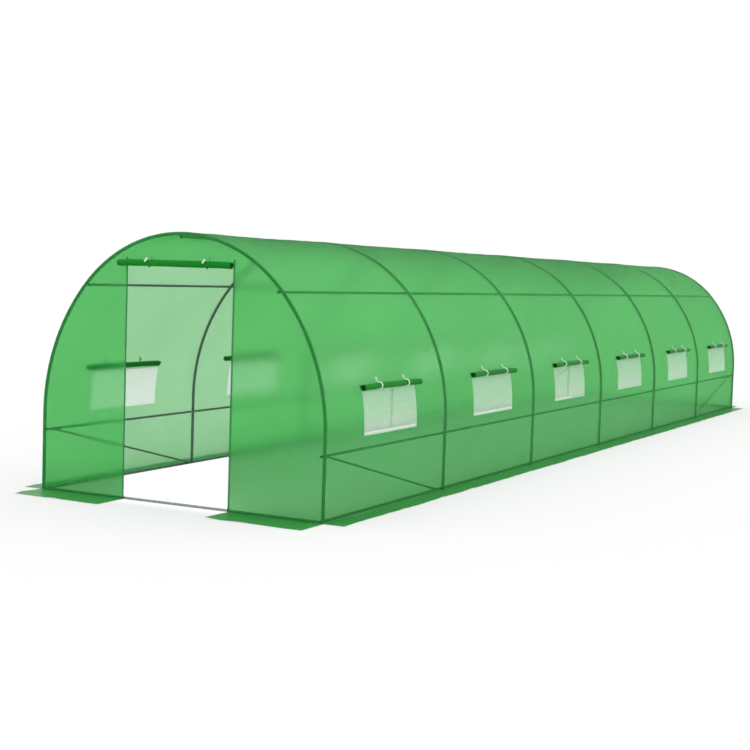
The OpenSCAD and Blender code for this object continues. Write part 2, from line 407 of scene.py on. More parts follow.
# Each step of a nut's outline: height above the seat, radius, and 1 for a hexagon or 0 for a round
NUT_OUTLINE = [
    (-0.0012, 0.0062, 0), (0.0010, 0.0062, 0), (0.0013, 0.0059, 0), (0.0013, 0.0055, 1), (0.0040, 0.0055, 1),
    (0.0047, 0.0046, 0), (0.0047, 0.0031, 0), (0.0079, 0.0031, 0), (0.0084, 0.0025, 0),
]
HEXAGON = np.tile([[1 / math.cos(math.pi / 6)], [1.0]], (6, 1))


def add_nut(build, seat, out):
    """A washer, nut and bolt end on a seat that faces out, square to the tunnel's length."""
    seat, out = np.array(seat, float), np.array(out, float)
    first = np.cross(out, (0, 1, 0))
    second = np.cross(out, first)
    build.add(*loft([
        ring(seat + out * height, first * radius, second * radius, 12, HEXAGON ** corners)
        for height, radius, corners in NUT_OUTLINE
    ]))


purlins_along = [LOW_PURLIN_Z, SHOULDER_END, HALF_ARCH]
purlins_along += [2 * HALF_ARCH - along for along in (SHOULDER_END, LOW_PURLIN_Z)]
bolts = Build()
for y in HOOP_Y:
    for along in purlins_along:
        (x, z), (out_x, out_z) = on_arch(along, -PURLIN_DEPTH)
        add_nut(bolts, (x, y, z), (-out_x, 0, -out_z))
    inward = RAIL_BOLT_IN * ((y == FRONT_Y) - (y == REAR_Y))
    for x_sign in (1, -1):
        add_nut(bolts, (x_sign * (RAIL_X - RAIL_R), y + inward, RAIL_R), (-x_sign, 0, 0))
for along in (BRACE_BOLT_AT, brace_length - BRACE_BOLT_AT):
    seat = brace_top + brace_run * along
    for x_sign in (1, -1):
        for y_sign in (1, -1):
            place = (x_sign * (seat.x + BRACE_R - PRESSED_T), y_sign * seat.y, seat.z)
            add_nut(bolts, place, (-x_sign, 0, 0))
ZINC_PLATE = hard_finish("zinc_plate", (0.30, 0.32, 0.31), (0.45, 0.46, 0.44), 0.8)
bolts.piece("frame_bolts", ZINC_PLATE, "galvanised_tube", smooth=False)


# --------------------------------------------------
# The cover is one sheet of woven polyethylene film, drawn over all the hoops
# from the ground on one side to the ground on the other. It rolls over the
# end hoops, draws in slightly between hoops, and has an opening per window.

SKIN_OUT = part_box("roof_sheet")[1].z - CROWN_H
SKIN_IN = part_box("roof_sheet")[1].y - REAR_Y
FILM_OUT = (SKIN_IN + SKIN_OUT) / 2
FILM_T = 0.0007
net_low, net_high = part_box("window_nets_right")
WINDOW_CENTRES = [(one + two) / 2 for one, two in zip(HOOP_Y, HOOP_Y[1:])]
WINDOW_HALF = WINDOW_CENTRES[0] - net_low.y
SILL_Z, HEAD_Z = net_low.z, net_high.z
HEAD_ALONG = LEG_HEIGHT + SHOULDER_R * math.asin((HEAD_Z - LEG_HEIGHT) / (SHOULDER_R + FILM_OUT))

dice = np.random.RandomState(11)


def soft_noise(u, v, waves, count=14):
    """A smooth random field of about unit height, from waves of the given lengths along u and v."""
    total = np.zeros(np.broadcast(u, v).shape)
    for _ in range(count):
        turn_u, turn_v = dice.normal(0, 1, 2) * 2 * math.pi / np.array(waves)
        total += np.sin(u * turn_u + v * turn_v + dice.uniform(0, 2 * math.pi))
    return total / math.sqrt(count / 2)


def lines(stops, step):
    """Values from the first stop to the last that take in every stop, with about one step between them."""
    values = []
    for start, end in zip(stops, stops[1:]):
        values.extend(np.linspace(start, end, max(1, round((end - start) / step)), endpoint=False))
    return np.array(values + [stops[-1]])


def add_grid(build, points, keep=None, measures=None):
    """Adds a grid of points as faces, without the cells that keep leaves out."""
    rows, columns = points.shape[:2]
    faces = []
    for row in range(rows - 1):
        for column in range(columns - 1):
            if keep is None or keep[row, column]:
                at = row * columns + column
                faces.append([at, at + 1, at + columns + 1, at + columns])
    used = np.unique(np.array(faces))
    number = np.full(rows * columns, -1)
    number[used] = np.arange(len(used))
    flat = None if measures is None else measures.reshape(-1, 2)[used]
    build.add(points.reshape(-1, 3)[used], number[np.array(faces)].tolist(), flat)


def thicken(piece, thickness):
    """Gives a sheet its two faces and its cut edges, which stay sharp."""
    sheet = bmesh.new()
    sheet.from_mesh(piece.data)
    for edge in sheet.edges:
        edge.smooth = not edge.is_boundary
    sheet.to_mesh(piece.data)
    sheet.free()
    solid = piece.modifiers.new("thickness", "SOLIDIFY")
    solid.thickness, solid.offset, solid.use_even_offset = thickness, 0.0, False
    return piece


# How far the film draws in half-way between hoops, at each height up the arch
DRAW_IN = [(0, 0), (0.1, 0.001), (0.5, 0.004), (1.2, 0.0085), (2.0, 0.007), (HALF_ARCH, 0.006)]


def cover_out(along, y):
    """How far out of the hoops' centre line the cover's film lies."""
    share = np.clip((y - FRONT_Y) / BAY, 0, len(WINDOW_CENTRES) - 1e-6) % 1.0
    from_hoop = np.minimum(share, 1 - share) * BAY
    height = np.minimum(along, 2 * HALF_ARCH - along)
    draw_in = np.interp(height, *zip(*DRAW_IN)) * 4 * share * (1 - share)
    folds = 0.0012 * soft_noise(y, along, (0.5, 2.2)) * np.interp(from_hoop, [0, 0.25], [0, 1])
    puckers = 0.0007 * soft_noise(y, along, (1.5, 0.11)) * np.exp(-from_hoop / 0.12)
    puckers = puckers * np.interp(from_hoop, [0, 0.03], [0, 1])
    ripples = 0.0016 * soft_noise(y, along, (0.22, 1.2)) * np.exp(-height / 0.14)
    ripples = ripples * np.interp(height, [0, 0.02], [0.2, 1])
    from_middle = np.abs((y - FRONT_Y) % BAY - BAY / 2)
    off_window = np.interp(from_middle, [WINDOW_HALF, WINDOW_HALF + 0.12], [0, 1])
    off_window = np.maximum(off_window, np.interp(height, [HEAD_ALONG, HEAD_ALONG + 0.15], [0, 1]))
    off_window = np.maximum(off_window, np.interp(height, [SILL_Z - 0.12, SILL_Z], [1, 0]))
    folds = np.maximum(folds, -0.003) * (0.3 + 0.7 * off_window)
    return FILM_OUT - draw_in + folds + puckers + np.maximum(ripples, -0.0005)


TAPE_W = 0.0022
STRONG_THREAD_PITCH = 0.010
FILM_CLARITY = 0.855
FILM_BLUR = 0.15


def flat_place(shade):
    """Where each point lies on the flat cloth, in metres each way."""
    return shade.node("UVMap", {"uv_map": "cloth"}).split()[:2]


def film_finish(name, body, body_light, through=None, weave_depth=0.25, shine=0.35):
    """Woven film: tapes over and under each other, stronger threads, and a soft view through clear film."""
    material, shade = new_material(name)
    u, v = flat_place(shade)
    place = shade.node("TexCoord", out="Object")

    def strong_thread(value):
        """1 on the middle of each stronger thread and 0 between them."""
        wave = (value * (2 * math.pi / STRONG_THREAD_PITCH)).maths("COSINE")
        return (wave * 0.5 + 0.5).maths("POWER", 14.0)

    tape = (u * (math.pi / TAPE_W)).maths("SINE") * (v * (math.pi / TAPE_W)).maths("SINE")
    grid = strong_thread(u).maths("MAXIMUM", strong_thread(v))
    clouds = place.noise(1.1, 3.0, 0.55).fade(0.35, 0.68)
    fine = place.noise(60.0, 2.0, 0.5)
    tone = clouds * 0.50 + grid * 0.25 + fine.fade(0.25, 0.75) * 0.25
    bump = (tape * 0.35 + grid * 0.65).bump(weave_depth, 0.0003)
    skin = coat(shade, tone.blend(body, body_light), fine.fade(0.3, 0.7, 0.36, 0.5), bump, shine)
    if through:
        view = shade.node("BsdfRefraction", {}, {"Color": through, "Roughness": FILM_BLUR, "IOR": 1.45})
        open_share = (1 - grid * 0.22 - clouds * 0.05) * FILM_CLARITY
        skin = shade.node("MixShader", {}, {0: open_share, 1: skin, 2: view})
    shade.surface(skin)
    return material


COVER_FILM = film_finish(
    "woven_film", body=(0.030, 0.48, 0.080), body_light=(0.046, 0.58, 0.110), through=(0.706, 0.956, 0.730),
)

SEAM_LAP = 0.004

# The lines of the cover's grid run along the tunnel and up over the hoops, and
# take in every hoop and every window's edges
corner_turns = np.linspace(0, math.pi / 2, 6)[1:]
y_stops = sorted(HOOP_Y + [c + edge for c in WINDOW_CENTRES for edge in (-WINDOW_HALF, WINDOW_HALF)])
y_lines = lines(y_stops, 0.038)
arch_lines = lines([0.002, 0.012, SILL_Z, HEAD_ALONG, HALF_ARCH], 0.042)
arch_lines = np.concatenate([arch_lines, 2 * HALF_ARCH - arch_lines[-2::-1]])
grid_y, grid_along = np.meshgrid(y_lines, arch_lines)
out = cover_out(grid_along, grid_y)
over_hoop = np.interp(np.abs((grid_y - FRONT_Y + BAY / 2) % BAY - BAY / 2), [0, 0.03], [1, 0])
out = np.maximum(out, FILM_OUT * over_hoop + out * (1 - over_hoop))
cover_points = arch_points(grid_along, out, grid_y)
cover_measures = np.stack([grid_y, grid_along], -1)
middle_y = (grid_y[:-1, :-1] + grid_y[1:, 1:]) / 2
middle_along = (grid_along[:-1, :-1] + grid_along[1:, 1:]) / 2
middle_height = np.minimum(middle_along, 2 * HALF_ARCH - middle_along)
in_window = np.abs((middle_y - FRONT_Y) % BAY - BAY / 2) < WINDOW_HALF
in_window &= (middle_height > SILL_Z) & (middle_height < HEAD_ALONG)
keep = ~in_window

# Past each end hoop the film rolls over and laps onto the wall. Each step: how far out
# from the hoop's line, how far past the hoop, and the length of film up to there
rolled_over = [(FILM_OUT * math.cos(turn), FILM_OUT * math.sin(turn), FILM_OUT * turn) for turn in corner_turns]
rolled_over.append((-SEAM_LAP, FILM_OUT - 0.0003, FILM_OUT * math.pi / 2 + SEAM_LAP))
ends = []
for end_y, sign in ((FRONT_Y, -1), (REAR_Y, 1)):
    rows, flat = [], []
    for reach, past, length in rolled_over:
        rows.append(arch_points(arch_lines, reach, end_y + sign * past))
        flat.append(np.stack([np.full(len(arch_lines), end_y + sign * length), arch_lines], -1))
    ends.append((np.stack(rows, 1), np.stack(flat, 1)))
cover_points = np.concatenate([ends[0][0][:, ::-1], cover_points, ends[1][0]], 1)
cover_measures = np.concatenate([ends[0][1][:, ::-1], cover_measures, ends[1][1]], 1)
edge_cells = np.ones((keep.shape[0], len(corner_turns) + 1), bool)
keep = np.concatenate([edge_cells, keep, edge_cells], 1)

build = Build()
add_grid(build, cover_points, keep, cover_measures)
cover = thicken(build.piece("cover_sheet", COVER_FILM, "cover_film"), FILM_T)
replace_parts(cover, "roof_sheet", "side_sheet_left", "side_sheet_right")
cover_length = REAR_Y - FRONT_Y + 2 * (FILM_OUT * math.pi / 2 + SEAM_LAP)
window_area = 12 * 2 * WINDOW_HALF * (HEAD_ALONG - SILL_Z)
2 * HALF_ARCH
2 * HALF_ARCH * cover_length - window_area


# --------------------------------------------------
# The front wall is a sheet of the same film sewn to the cover round the first
# hoop. The doorway is a cut in it, 0.94 m wide, with a zip down each side, so
# the sheet runs down both sides of the opening and across above it.

doorway_low, doorway_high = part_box("front_wall_header")
DOOR_HALF, DOOR_TOP = doorway_high.x, doorway_low.z
WALL_OUT = FILM_OUT + 0.0009
EDGE_OUT = 0.0


def wall_sag(x, z, edge, face):
    """How far a wall's film stands out: a slight belly, soft folds, and puckers along its sewn edge."""
    inner = np.interp(edge, [0.03, 0.35], [0, 1])
    belly = -0.006 * inner
    folds = 0.0022 * soft_noise(x, z, (0.30, 1.6)) * inner
    puckers = 0.0009 * soft_noise(x, z, (0.12, 0.5)) * np.exp(-edge / 0.10)
    puckers = puckers * np.interp(edge, [0.0, 0.03], [0, 1])
    ripples = 0.0014 * soft_noise(x, z, (0.16, 0.6)) * np.exp(-z / 0.12)
    foot = np.interp(z, [0.004, 0.12], [0.05, 1])
    slack = belly + folds + np.maximum(puckers, 0) + np.maximum(ripples, -0.0004)
    return face * (WALL_OUT + slack * foot)


def hang_wall(name, x, y, z, nodes):
    build = Build()
    add_grid(build, np.stack([x, y, z], -1), measures=np.stack([x, z], -1))
    wall = thicken(build.piece(name, COVER_FILM, "cover_film"), FILM_T)
    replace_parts(wall, *nodes)
    2 * HALF_W


# The grid's lines run from the doorway's edge out to the arch, so each has an inner and an outer end
corner_along = HALF_ARCH - 0.60
side_lines = np.linspace(0, corner_along, 62)
top_lines = np.linspace(corner_along, 2 * HALF_ARCH - corner_along, 35)[1:-1]
outer_along = np.concatenate([side_lines, top_lines, 2 * HALF_ARCH - side_lines[::-1]])
outer, _ = on_arch(outer_along, EDGE_OUT)
side_share = side_lines / corner_along
top_share = (top_lines - corner_along) / (2 * HALF_ARCH - 2 * corner_along)
door_side = np.full(len(side_lines), DOOR_HALF)
inner_x = np.concatenate([door_side, DOOR_HALF * (1 - 2 * top_share), -door_side])
inner_z = DOOR_TOP * np.concatenate([side_share, np.ones(len(top_lines)), side_share[::-1]])
run_out = np.hypot(outer[:, 0] - inner_x, outer[:, 1] - inner_z)
share = np.linspace(0, 1, 25)[:, None]
wall_x = inner_x + (outer[:, 0] - inner_x) * share
wall_z = np.maximum(inner_z + (outer[:, 1] - inner_z) * share, 0.002)
door_edge = np.interp(run_out * share, [0, 0.06], [0.25, 1])
wall_y = FRONT_Y + (wall_sag(wall_x, wall_z, run_out * (1 - share), -1) + WALL_OUT) * door_edge - WALL_OUT

wall_profile, _ = on_arch(np.linspace(0, 2 * HALF_ARCH, 400), EDGE_OUT)
front_nodes = [f"front_wall_{part}" for part in ("header", "left", "right")]
hang_wall("front_wall", wall_x, wall_y, wall_z, front_nodes)


# --------------------------------------------------
# The rear wall is a plain sheet of the same film, sewn to the cover round the
# last hoop. It has no opening.

outer_along = LEG_HEIGHT + (2 * HALF_ARCH - 2 * LEG_HEIGHT) * np.linspace(0, 1, 111)
outer, _ = on_arch(outer_along, EDGE_OUT)
share = np.linspace(0, 1, 45)[:, None]
wall_x, wall_z = np.broadcast_arrays(outer[:, 0], 0.002 + share * (outer[:, 1] - 0.002))
outline, _ = on_arch(np.linspace(0, 2 * HALF_ARCH, 240), EDGE_OUT)
edge = np.min(np.hypot(wall_x[..., None] - outline[:, 0], wall_z[..., None] - outline[:, 1]), -1)
wall_y = REAR_Y + wall_sag(wall_x, wall_z, edge, 1)

hang_wall("rear_wall_sheet", wall_x, wall_y, wall_z, ["rear_wall"])


# --------------------------------------------------
# Both end walls are held to the cover by a row of lockstitch in green thread,
# 6 mm long stitches through the doubled edge of the film.

def add_stitches(build, path, outward, pitch=0.0085, length=0.006, width=0.0011):
    """A row of stitches along a path of points, standing out along outward at each point."""
    path, outward = np.asarray(path, float), np.asarray(outward, float)
    steps = np.linalg.norm(np.diff(path, axis=0), axis=1)
    travelled = np.concatenate([[0], np.cumsum(steps)])
    starts = np.arange(pitch / 2, travelled[-1] - length, pitch)

    def at(values, length):
        return np.stack([np.interp(length, travelled, values[:, axis]) for axis in range(3)], -1)

    a, b = at(path, starts), at(path, starts + length)
    out = at(outward, starts + length / 2)
    run = (b - a) / np.linalg.norm(b - a, axis=1)[:, None]
    across = np.cross(run, out) * (width / 2)
    lift = out * 0.0005
    middle = (a + b) / 2 + out * 0.0009
    corners = np.stack([a, middle + across, b, middle - across, middle + lift * 0.6], 1)
    faces = [
        [5 * stitch + one, 5 * stitch + two, 5 * stitch + 4]
        for stitch in range(len(starts)) for one, two in ((0, 1), (1, 2), (2, 3), (3, 0))
    ]
    build.add(corners, faces)


THREAD, shade = new_material("sewing_thread")
shade.surface(shade.node("BsdfPrincipled", {}, {"Base Color": (0.02, 0.20, 0.04), "Roughness": 0.7}))

build = Build()
for end_y, sign in ((FRONT_Y, -1), (REAR_Y, 1)):
    along = np.linspace(0.01, 2 * HALF_ARCH - 0.01, 600)
    path = arch_points(along, EDGE_OUT - 0.003, end_y + sign * (WALL_OUT + FILM_T / 2))
    add_stitches(build, path, np.tile([0, sign, 0], (len(path), 1)))
build.piece("wall_stitching", THREAD, "cover_film", smooth=False)


# --------------------------------------------------
# Twelve windows of white knitted mesh, one on each side of every bay. Each is
# welded into its opening with a doubled, denser edge all round.

NET_PITCH = 0.0026


def net_finish():
    """White netting: round threads with open holes between them, a solid doubled edge, and painted light on its
    lower part.
    """
    material, shade = new_material("white_netting")
    u, v = flat_place(shade)
    place = shade.node("TexCoord", out="Object")
    warp, weft = ((value * (math.pi / NET_PITCH)).maths("SINE").maths("ABSOLUTE") for value in (u, v))
    slack = place.noise(30.0, 2.0, 0.6).fade(0.3, 0.7, -0.07, 0.07)
    hole = (warp * weft + slack).fade(0.45, 0.69)
    past_side, past_end = u.maths("ABSOLUTE") - WINDOW_HALF, v.maths("ABSOLUTE") - (HEAD_ALONG - SILL_Z) / 2
    border = past_side.maths("MAXIMUM", past_end).fade(-0.0125, -0.0105)
    closed = hole * (1 - border * 0.8)
    clouds = place.noise(4.0, 3.0, 0.5)
    colour = (clouds * 0.6).blend((0.65, 0.90, 0.67), (0.57, 0.82, 0.59))
    # Each net is painted lighter towards the sill: painted light, standing in for light thrown up from the
    # ground.
    colour = v.fade(-0.16, 0.05, 1.0, 0.0).blend(colour, (0.93, 0.99, 0.93))
    colour = (border * 0.6).blend(colour, (0.40, 0.74, 0.44))
    bump = warp.maths("MINIMUM", weft).bump(0.6, 0.0004)
    skin = coat(shade, colour, clouds.fade(0.3, 0.7, 0.55, 0.7), bump, 0.3)
    glow = shade.node("BsdfTranslucent", {}, {"Color": (0.81, 0.97, 0.86), "Normal": bump})
    threads = shade.node("MixShader", {}, {0: 0.5, 1: skin, 2: glow})
    gap = shade.node("BsdfTransparent", {}, {"Color": (1.0, 1.0, 1.0)})
    shade.surface(shade.node("MixShader", {}, {0: closed, 1: threads, 2: gap}))
    return material


NET = net_finish()
net_u = np.linspace(-WINDOW_HALF - 0.002, WINDOW_HALF + 0.002, 33)
net_v = np.linspace(SILL_Z - 0.002, HEAD_ALONG + 0.002, 15)
for side, x_sign in SIDES:
    build = Build()
    for centre in WINDOW_CENTRES:
        u, v = np.meshgrid(net_u, net_v)
        inside = (1 - (u / net_u[-1]) ** 2) * (1 - ((v - net_v[7]) / (net_v[-1] - net_v[7])) ** 2)
        sag = 0.0022 * inside + 0.0008 * soft_noise(u, v, (0.35, 0.35)) * inside
        points = arch_points(v, cover_out(v, u + centre) - np.abs(sag), u + centre)
        add_grid(build, points * (x_sign, 1, 1), measures=np.stack([u, v - net_v[7]], -1))
    nets = build.piece(f"window_mesh_{side}", NET, "window_net")
    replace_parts(nets, f"window_nets_{side}")


# --------------------------------------------------
# Each window's flap is a sheet of the film hemmed along its top edge to the
# cover above the opening, rolled up outwards in a few loose turns and held
# there by two ties.

roll_low, roll_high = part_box("window_rolls_right")
ROLL_R = (roll_high.z - roll_low.z) / 2
ROLL_AT = Vector((roll_high.x - ROLL_R, 0, (roll_low.z + roll_high.z) / 2))
ROLL_HALF = WINDOW_CENTRES[0] - roll_low.y
ROLL_CORE, ROLL_TURNS = 0.0065, 4.0
ROLLED_T = 0.0011
TIE_AT = 0.225
roll_tilt = math.asin((ROLL_AT.z - LEG_HEIGHT) / (SHOULDER_R + FILM_OUT))
ROLL_OUT = Vector((math.cos(roll_tilt), 0, math.sin(roll_tilt)))
ROLL_UP = Vector((-math.sin(roll_tilt), 0, math.cos(roll_tilt)))


def rolled_sheet(centre, out, up, axis, half, radius, core, turns, ties, tail, lumps=0.05):
    """The points of a sheet rolled up outwards, its flat measures, and its length.

    tail is the points, (out, up) from the roll's centre, by which the sheet comes down to the roll's back.
    """
    centre, out, up, axis = (np.array(vector[:]) for vector in (centre, out, up, axis))
    along = np.unique(np.concatenate([
        np.linspace(-half, half, 28), *[np.linspace(tie - 0.02, tie + 0.02, 5) for tie in ties],
    ]))
    turned = np.linspace(0, turns, int(turns * 20) + 1)
    angle = math.pi * (1 + 2 * turned)
    spiral = radius + (core - radius) * turned / turns
    tail = np.array(tail, float).reshape(-1, 2)
    run = np.concatenate([tail, np.stack([spiral * np.cos(angle), spiral * np.sin(angle)], -1)])
    length = np.concatenate([[0], np.cumsum(np.hypot(*np.diff(run, axis=0).T))])
    s, t = np.meshgrid(along, length)

    def on_roll(values):
        """A column of values down the roll, with nothing on the tail."""
        return np.concatenate([np.zeros(len(tail)), values])[:, None]

    waist = sum(0.13 * np.exp(-(((along - tie) / 0.016) ** 2)) for tie in ties)
    round_about, deep = on_roll(np.ones(len(turned))), on_roll(turned / turns)
    lump = lumps * soft_noise(s, on_roll(angle) * radius, (0.30, 0.12))
    slack = (2.2 * lumps - lump) * 0.5 * (1 - 0.5 * deep)
    scale = 1 - round_about * (waist[None] * (1 - 0.3 * deep) + slack)
    slip = 0.0035 * np.sin(turned * 2.1 + dice.uniform(0, 6)) * np.linspace(0.3, 1, len(turned))
    s = s + on_roll(slip) * (along[None] / half)
    droop = -0.0035 * np.clip(np.abs(along) - max(map(abs, ties)), 0, None) ** 2 / 0.06 * round_about
    outward, upward = run[:, 0, None] * scale, run[:, 1, None] * scale + droop
    points = centre + axis * s[..., None] + out * outward[..., None] + up * upward[..., None]
    return points, np.stack([np.broadcast_to(along, t.shape), t], -1), length[-1]


# The rolled film is the cover's woven film with its body painted far darker: painted shade between the turns of
# the roll.
SHADED_ROLLED_FILM = film_finish(
    "rolled_film", body=(0.005, 0.160, 0.012), body_light=(0.010, 0.235, 0.020), weave_depth=0.45, shine=0.04,
)

roll_reach = (ROLL_AT.x - SHOULDER_X) * ROLL_OUT.x + (ROLL_AT.z - LEG_HEIGHT) * ROLL_OUT.z
to_cover = SHOULDER_R + FILM_OUT - roll_reach + 0.0012
FLAP_TAIL = [(to_cover, 0.018), (to_cover, 0.012), (to_cover * 0.6 - ROLL_R * 0.4, 0.005)]
for side, x_sign in SIDES:
    build = Build()
    for centre in WINDOW_CENTRES:
        points, measures, flap_length = rolled_sheet(
            ROLL_AT + Vector((0, centre, 0)), ROLL_OUT, ROLL_UP, Vector((0, 1, 0)), ROLL_HALF,
            ROLL_R * 1.1, ROLL_CORE, ROLL_TURNS, (-TIE_AT, TIE_AT), FLAP_TAIL,
        )
        add_grid(build, points * (x_sign, 1, 1), measures=measures)
    rolls = thicken(build.piece(f"window_flaps_{side}", SHADED_ROLLED_FILM, "rolled_film"), ROLLED_T)
    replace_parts(rolls, f"window_rolls_{side}")
    6 * 2 * ROLL_HALF


# --------------------------------------------------
# Each roll is held by two loops of white braided cord sewn in above it. A loop
# comes over the roll and back beneath it, and a toggle slides on its end.

def cord_finish():
    """White polyester braid: two sets of strands crossing along the cord, with painted shade in the hollows
    between them.
    """
    material, shade = new_material("white_braid")
    around, along = flat_place(shade)
    one_way, other_way = (
        (along * 900 + around * (way * 8 * math.pi)).maths("SINE").maths("ABSOLUTE") for way in (1, -1)
    )
    height = one_way.maths("MAXIMUM", other_way)
    # The colour follows the braid's height: painted shade in its hollows.
    colour = height.fade(0.2, 0.95).blend((0.50, 0.66, 0.52), (0.76, 0.90, 0.78))
    shade.surface(coat(shade, colour, height.fade(0, 1, 0.75, 0.5), height.bump(0.5, 0.0003), 0.3))
    return material


def toggle_finish():
    """White moulded plastic with faint scuffs."""
    material, shade = new_material("white_toggle")
    scuffs = shade.node("TexCoord", out="Object").noise(260.0, 4.0, 0.65)
    colour = scuffs.fade(0.35, 0.75).blend((0.74, 0.78, 0.74), (0.64, 0.68, 0.64))
    shade.surface(coat(shade, colour, scuffs.fade(0.3, 0.7, 0.28, 0.42), scuffs.bump(0.15, 0.0002)))
    return material


BRAID, TOGGLE = cord_finish(), toggle_finish()


def add_tube(build, path, radii, sides=10):
    """A round bar along a path of points, with a radius at each point."""
    path = np.asarray(path, float)
    runs = np.gradient(path, axis=0)
    runs /= np.linalg.norm(runs, axis=1)[:, None]
    first = np.cross(runs[0], (0.3, 0.5, 0.8))
    rings, measures = [], []
    travelled = np.concatenate([[0], np.cumsum(np.linalg.norm(np.diff(path, axis=0), axis=1))])
    for place, run, radius, distance in zip(path, runs, radii, travelled):
        first = first - run * np.dot(first, run)
        first /= np.linalg.norm(first)
        rings.append(ring(place, radius * first, radius * np.cross(run, first), sides))
        around = np.linspace(0, 1, sides, endpoint=False)
        measures.append(np.stack([around, np.full(sides, distance)], -1))
    points, faces = loft(rings)
    build.add(points, faces, np.array(measures))


def smooth_path(stops, count):
    """A smooth curve through the given points."""
    stops = np.asarray(stops, float)
    ahead = np.vstack([2 * stops[0] - stops[1], stops, 2 * stops[-1] - stops[-2]])
    path = []
    for i in range(1, len(ahead) - 2):
        a, b, c, d = ahead[i - 1:i + 3]
        bend, twist = 2 * a - 5 * b + 4 * c - d, 3 * b - a - 3 * c + d
        for t in np.linspace(0, 1, max(2, count // (len(stops) - 1)), endpoint=False):
            path.append(0.5 * (2 * b + (c - a) * t + bend * t * t + twist * t ** 3))
    return np.array(path + [stops[-1]])


def add_cord(build, stops, count, shares, radii, sides=10):
    """A round bar on a smooth curve through its stops, with its radius at each share of the way."""
    path = smooth_path(stops, count)
    add_tube(build, path, np.interp(np.linspace(0, 1, len(path)), shares, radii), sides)


TOGGLE_SIZE = 1.25


def add_toggle(toggles, foot, way):
    """A bead with a waist, its lower end at foot."""
    way = np.array(way, float) / np.linalg.norm(way)
    reach = np.array([-0.001, 0.000, 0.004, 0.010, 0.016, 0.022, 0.026, 0.0275]) * TOGGLE_SIZE
    fat = np.array([0.0030, 0.0055, 0.0066, 0.0056, 0.0060, 0.0068, 0.0052, 0.0028]) * TOGGLE_SIZE
    add_tube(toggles, np.array(foot) + way * reach[:, None], fat, 14)


# Each stop of a tie: degrees round the roll from its outer side, how far off the roll, and how far aside
TIE_STOPS = [
    (96, 0.0075, -0.020), (80, 0.0040, -0.010), (58, 0.0018, 0), (30, 0.0010, 0.006), (-5, 0.0006, 0.009),
    (-45, 0, 0.010), (-85, -0.001, 0.009), (-125, -0.002, 0.006), (-165, -0.004, 0),
]


def add_window_tie(cords, toggles, centre, lean):
    """A cord from above the roll, over its front and round beneath it, with a toggle on its upper end."""
    centre, out, up, axis = (np.array(vector[:]) for vector in (centre, ROLL_OUT, ROLL_UP, (0, 1, 0)))
    stops = []
    for turn, off, aside in TIE_STOPS:
        turn, reach = math.radians(turn), ROLL_R * 0.88 + 0.0045 + off
        stops.append(centre + reach * (math.cos(turn) * out + math.sin(turn) * up) + axis * aside * lean)
    add_cord(cords, stops, 48, [0, 0.12, 0.35, 1], [0.0026, 0.0040, 0.0054, 0.0046])
    foot = stops[0]
    way = up * 0.9 - axis * 0.62 * lean + out * 0.12
    way = way / np.linalg.norm(way)
    add_toggle(toggles, foot, way)
    tip = [foot + way * 0.030, foot + way * 0.038, foot + way * 0.042 + axis * 0.003]
    add_cord(cords, tip, 6, [0, 1], [0.0022, 0.0022])


for side, x_sign in SIDES:
    cords, toggles = Build(), Build()
    for centre in WINDOW_CENTRES:
        for tie in (-TIE_AT, TIE_AT):
            lean = 1.0 + dice.uniform(-0.12, 0.12)
            add_window_tie(cords, toggles, ROLL_AT + Vector((0, centre + tie, 0)), lean)
    for build, kind, finish in ((cords, "cords", BRAID), (toggles, "toggles", TOGGLE)):
        build.points = (np.array(build.points) * (x_sign, 1, 1)).tolist()
        if x_sign < 0:
            build.faces = [face[::-1] for face in build.faces]
        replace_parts(build.piece(f"window_tie_{kind}_{side}", finish, "tie_cord"), f"window_ties_{side}")


# --------------------------------------------------
# The door flap is the cut-out part of the front wall, with half a zip on each
# side. It is rolled up outwards to above the opening and tied in two places.

door_low, door_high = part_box("door_roll")
DOOR_ROLL_R = (door_high.z - door_low.z) / 2
DOOR_ROLL_AT = (door_low + door_high) / 2
DOOR_ROLL_HALF = (door_high.x - door_low.x) / 2
DOOR_ROLL_CORE, DOOR_ROLL_TURNS = 0.0185, 13.5
DOOR_FLAP_T = 0.0003
DOOR_TIE_AT = 0.255
door_ties = [x - DOOR_ROLL_AT.x for x in (-DOOR_TIE_AT, DOOR_TIE_AT)]
to_wall = DOOR_ROLL_AT.y - (FRONT_Y - WALL_OUT - FILM_T / 2 - 0.0006)
build = Build()
points, measures, door_length = rolled_sheet(
    DOOR_ROLL_AT, Vector((0, -1, 0)), Vector((0, 0, 1)), Vector((1, 0, 0)), DOOR_ROLL_HALF,
    DOOR_ROLL_R, DOOR_ROLL_CORE, DOOR_ROLL_TURNS, door_ties,
    [(to_wall, 0.014), (to_wall, 0.008), ((to_wall - DOOR_ROLL_R) * 0.5, 0.003)], lumps=0.03,
)
add_grid(build, points, measures=measures)
door_flap = thicken(build.piece("door_flap", SHADED_ROLLED_FILM, "rolled_film"), DOOR_FLAP_T)
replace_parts(door_flap, "door_roll")


# --------------------------------------------------
# The door's two ties are straps of the same film, drawn tight round the roll.
# Each has a knot below, its loose end above, and a white toggle across it.

STRAP_R = DOOR_ROLL_R * 0.87 + 0.0022
STRAP_FROM, STRAP_TO = 155, -165

# The strap's folds: how far aside, and how far each stands out
STRAP_FOLDS = [(-0.009, 0.0), (-0.006, 0.0014), (-0.001, 0.0006), (0.004, 0.0016), (0.0085, 0.0)]

# Stops in degrees round the roll from its front, with how far off the strap and how far aside
KNOT_STOPS = [(-60, 0.001, -0.010), (-66, 0.0035, -0.004), (-70, 0.0045, 0.003), (-64, 0.001, 0.010)]
LOOSE_END_STOPS = [(140, 0, 0.004), (118, 0.012, 0.005), (105, 0.026, 0.003), (100, 0.036, 0.006)]


def at_strap(centre, turn, off, aside):
    turn, reach = math.radians(turn), STRAP_R + off
    return centre + (aside, -reach * math.cos(turn), reach * math.sin(turn))


